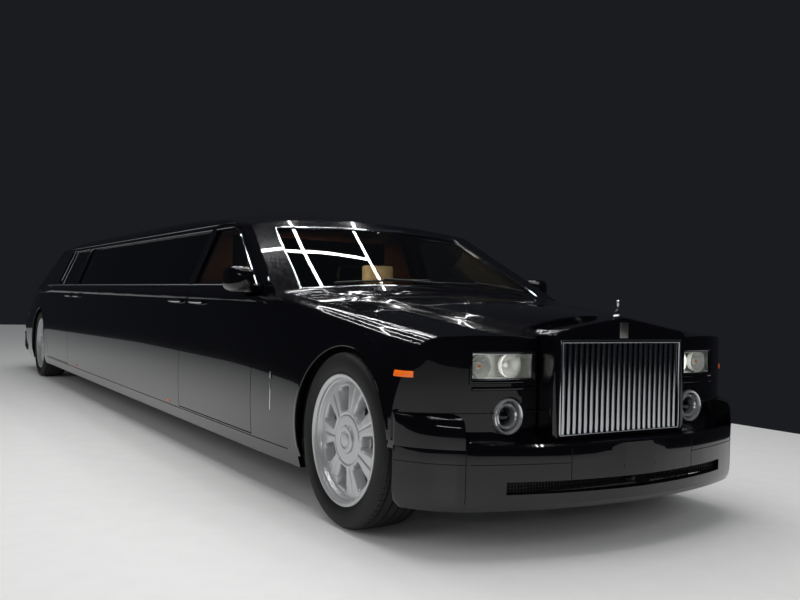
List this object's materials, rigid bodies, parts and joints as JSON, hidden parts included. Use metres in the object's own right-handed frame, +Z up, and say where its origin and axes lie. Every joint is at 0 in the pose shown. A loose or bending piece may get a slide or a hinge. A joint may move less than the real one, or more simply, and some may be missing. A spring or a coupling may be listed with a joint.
{
  "type": "stretch limousine",
  "caption": "Long black stretch limousine with an upright vaned grille, coach-hinged rear doors, opening bonnet and boot, steered front wheels and a furnished cabin.",
  "frame": {"origin": "centre of the footprint, on the floor under the tyres", "axes": "+X forwards, +Y to the left, +Z up"},
  "size_m": [9.644, 2.2, 1.632],
  "materials": {
    "black_paint": "gloss",
    "bright_chrome": "mirror polish",
    "tinted_glass": "dark tint",
    "red_lens": "clear moulded",
    "lamp_bezels": "polished",
    "chassis_steel": "satin",
    "cast_alloy": "as cast",
    "stainless_steel": "brushed",
    "dash_plastic": "grained",
    "seat_leather": "tan hide",
    "cabin_veneer": "lacquered",
    "wheel_alloy": "bright machined",
    "tyre_rubber": "moulded"
  },
  "bodies": {
    "body": {"sills": "black_paint", "tail_lamps": "red_lens", "rear_floor": "chassis_steel", "front_bumper": "black_paint", "rear_bumper": "black_paint", "front_wings": "black_paint", "roof": "black_paint", "side_panels": "black_paint", "rear_quarters": "black_paint", "nose_panel": "black_paint", "grille": "bright_chrome", "front_lamps": "lamp_bezels", "chassis": "chassis_steel", "floor_pan": "chassis_steel", "engine_block": "cast_alloy", "exhaust": "stainless_steel", "driveline": "chassis_steel", "front_suspension": "chassis_steel", "dashboard": "dash_plastic", "steering_wheel": "dash_plastic", "front_seats": "seat_leather", "partition": "cabin_veneer", "lounge_seats": "seat_leather", "cabinet": "cabin_veneer", "fixed_glass": "tinted_glass"},
    "bonnet": {"bonnet": "black_paint"},
    "boot_lid": {"boot_lid": "black_paint"},
    "front_right_door": {"front_right_door": "black_paint", "front_right_glass": "tinted_glass"},
    "front_left_door": {"front_left_door": "black_paint", "front_left_glass": "tinted_glass"},
    "rear_right_door": {"rear_right_door": "black_paint", "rear_right_glass": "tinted_glass"},
    "rear_left_door": {"rear_left_door": "black_paint", "rear_left_glass": "tinted_glass"},
    "right_knuckle": {"right_knuckle": "chassis_steel"},
    "left_knuckle": {"left_knuckle": "chassis_steel"},
    "front_right_wheel": {"front_right_wheel": "wheel_alloy", "front_right_tyre": "tyre_rubber"},
    "front_left_wheel": {"front_left_wheel": "wheel_alloy", "front_left_tyre": "tyre_rubber"},
    "rear_right_wheel": {"rear_right_wheel": "wheel_alloy", "rear_right_tyre": "tyre_rubber"},
    "rear_left_wheel": {"rear_left_wheel": "wheel_alloy", "rear_left_tyre": "tyre_rubber"}
  },
  "joints": [
    {"name": "bonnet_hinge", "type": "hinge", "parent": "body", "child": "bonnet", "pos_m": [3.309, 0, 1.048], "axis": [0, -1, 0], "range_deg": [0, 50]},
    {"name": "boot_hinge", "type": "hinge", "parent": "body", "child": "boot_lid", "pos_m": [-3.775, 0, 1.091], "axis": [0, 1, 0], "range_deg": [0, 75]},
    {"name": "front_right_door_hinge", "type": "hinge", "parent": "body", "child": "front_right_door", "pos_m": [3.059, -0.997, 0.66], "axis": [0, 0, 1], "range_deg": [0, 66]},
    {"name": "front_left_door_hinge", "type": "hinge", "parent": "body", "child": "front_left_door", "pos_m": [3.059, 0.997, 0.66], "axis": [0, 0, -1], "range_deg": [0, 66]},
    {"name": "rear_right_door_hinge", "type": "hinge", "parent": "body", "child": "rear_right_door", "pos_m": [-2.84, -0.997, 0.66], "axis": [0, 0, -1], "range_deg": [0, 78]},
    {"name": "rear_left_door_hinge", "type": "hinge", "parent": "body", "child": "rear_left_door", "pos_m": [-2.84, 0.997, 0.66], "axis": [0, 0, 1], "range_deg": [0, 78]},
    {"name": "right_steering", "type": "hinge", "parent": "body", "child": "right_knuckle", "pos_m": [4.012, -0.735, 0.382], "axis": [0, 0, 1], "range_deg": [-32, 32]},
    {"name": "left_steering", "type": "hinge", "parent": "body", "child": "left_knuckle", "pos_m": [4.012, 0.735, 0.382], "axis": [0, 0, 1], "range_deg": [-32, 32]},
    {"name": "front_right_spin", "type": "hinge", "parent": "right_knuckle", "child": "front_right_wheel", "pos_m": [4.012, -0.8425, 0.382], "axis": [0, 1, 0], "continuous": true},
    {"name": "front_left_spin", "type": "hinge", "parent": "left_knuckle", "child": "front_left_wheel", "pos_m": [4.012, 0.8425, 0.382], "axis": [0, 1, 0], "continuous": true},
    {"name": "rear_right_spin", "type": "hinge", "parent": "body", "child": "rear_right_wheel", "pos_m": [-3.368, -0.8425, 0.382], "axis": [0, 1, 0], "continuous": true},
    {"name": "rear_left_spin", "type": "hinge", "parent": "body", "child": "rear_left_wheel", "pos_m": [-3.368, 0.8425, 0.382], "axis": [0, 1, 0], "continuous": true}
  ],
  "couplings": [
    {"joint": "right_steering", "follows": "left_steering", "ratio": 1}
  ]
}
